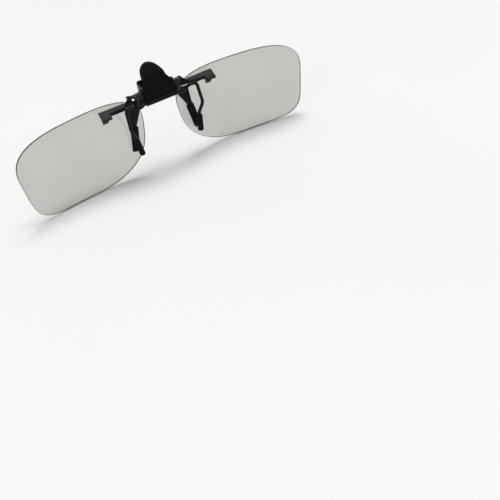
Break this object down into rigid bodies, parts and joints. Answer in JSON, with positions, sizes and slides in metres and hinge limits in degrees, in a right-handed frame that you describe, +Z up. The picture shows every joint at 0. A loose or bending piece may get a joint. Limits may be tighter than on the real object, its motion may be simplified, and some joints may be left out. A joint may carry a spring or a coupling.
{
  "type": "clip-on flip lenses",
  "caption": "Tinted rimless lenses on a sprung bridge clamp that grips spectacles, hinged so that they flip up.",
  "frame": {"origin": "middle of the gap between the front and rear pads, at the height where they grip", "axes": "+X to the wearer's left, +Z up, -Y to the front, +Y to the wearer"},
  "size_m": [0.129, 0.0114, 0.0446],
  "materials": {
    "lens_tint": "clear, light neutral tint, polished",
    "black_metal": "satin black",
    "tab_plastic": "fine matte texture",
    "sleeve_rubber": "soft matte",
    "spring_steel": "drawn wire",
    "pin_steel": "turned, darkened",
    "washer_nylon": "translucent nylon"
  },
  "bodies": {
    "base": {"clamp_base": "black_metal", "front_sleeve_left": "sleeve_rubber", "front_sleeve_right": "sleeve_rubber", "clamp_pin": "pin_steel", "pin_ring": "pin_steel", "friction_leaf": "spring_steel", "leaf_rivet": "pin_steel"},
    "clamp": {"lever": "black_metal", "thumb_tab": "tab_plastic", "rear_wire": "black_metal", "rear_sleeve_left": "sleeve_rubber", "rear_sleeve_right": "sleeve_rubber", "clamp_spring_left": "spring_steel", "clamp_spring_right": "spring_steel"},
    "flip": {"flip_shaft": "pin_steel", "shaft_clips": "spring_steel", "lens_arm_left": "black_metal", "lens_arm_right": "black_metal", "lens_left": "lens_tint", "lens_right": "lens_tint", "lens_rivets_left": "pin_steel", "lens_rivets_right": "pin_steel", "lens_washers_left": "washer_nylon", "lens_washers_right": "washer_nylon"}
  },
  "joints": [
    {"name": "clamp_hinge", "type": "hinge", "parent": "base", "child": "clamp", "pos_m": [0, -0.0002, 0.02], "axis": [1, 0, 0], "range_deg": [-5, 18], "stiffness_Nm_per_rad": 0.15},
    {"name": "flip_hinge", "type": "hinge", "parent": "base", "child": "flip", "pos_m": [0, -0.0036, 0.0192], "axis": [-1, 0, 0], "range_deg": [0, 90]}
  ]
}
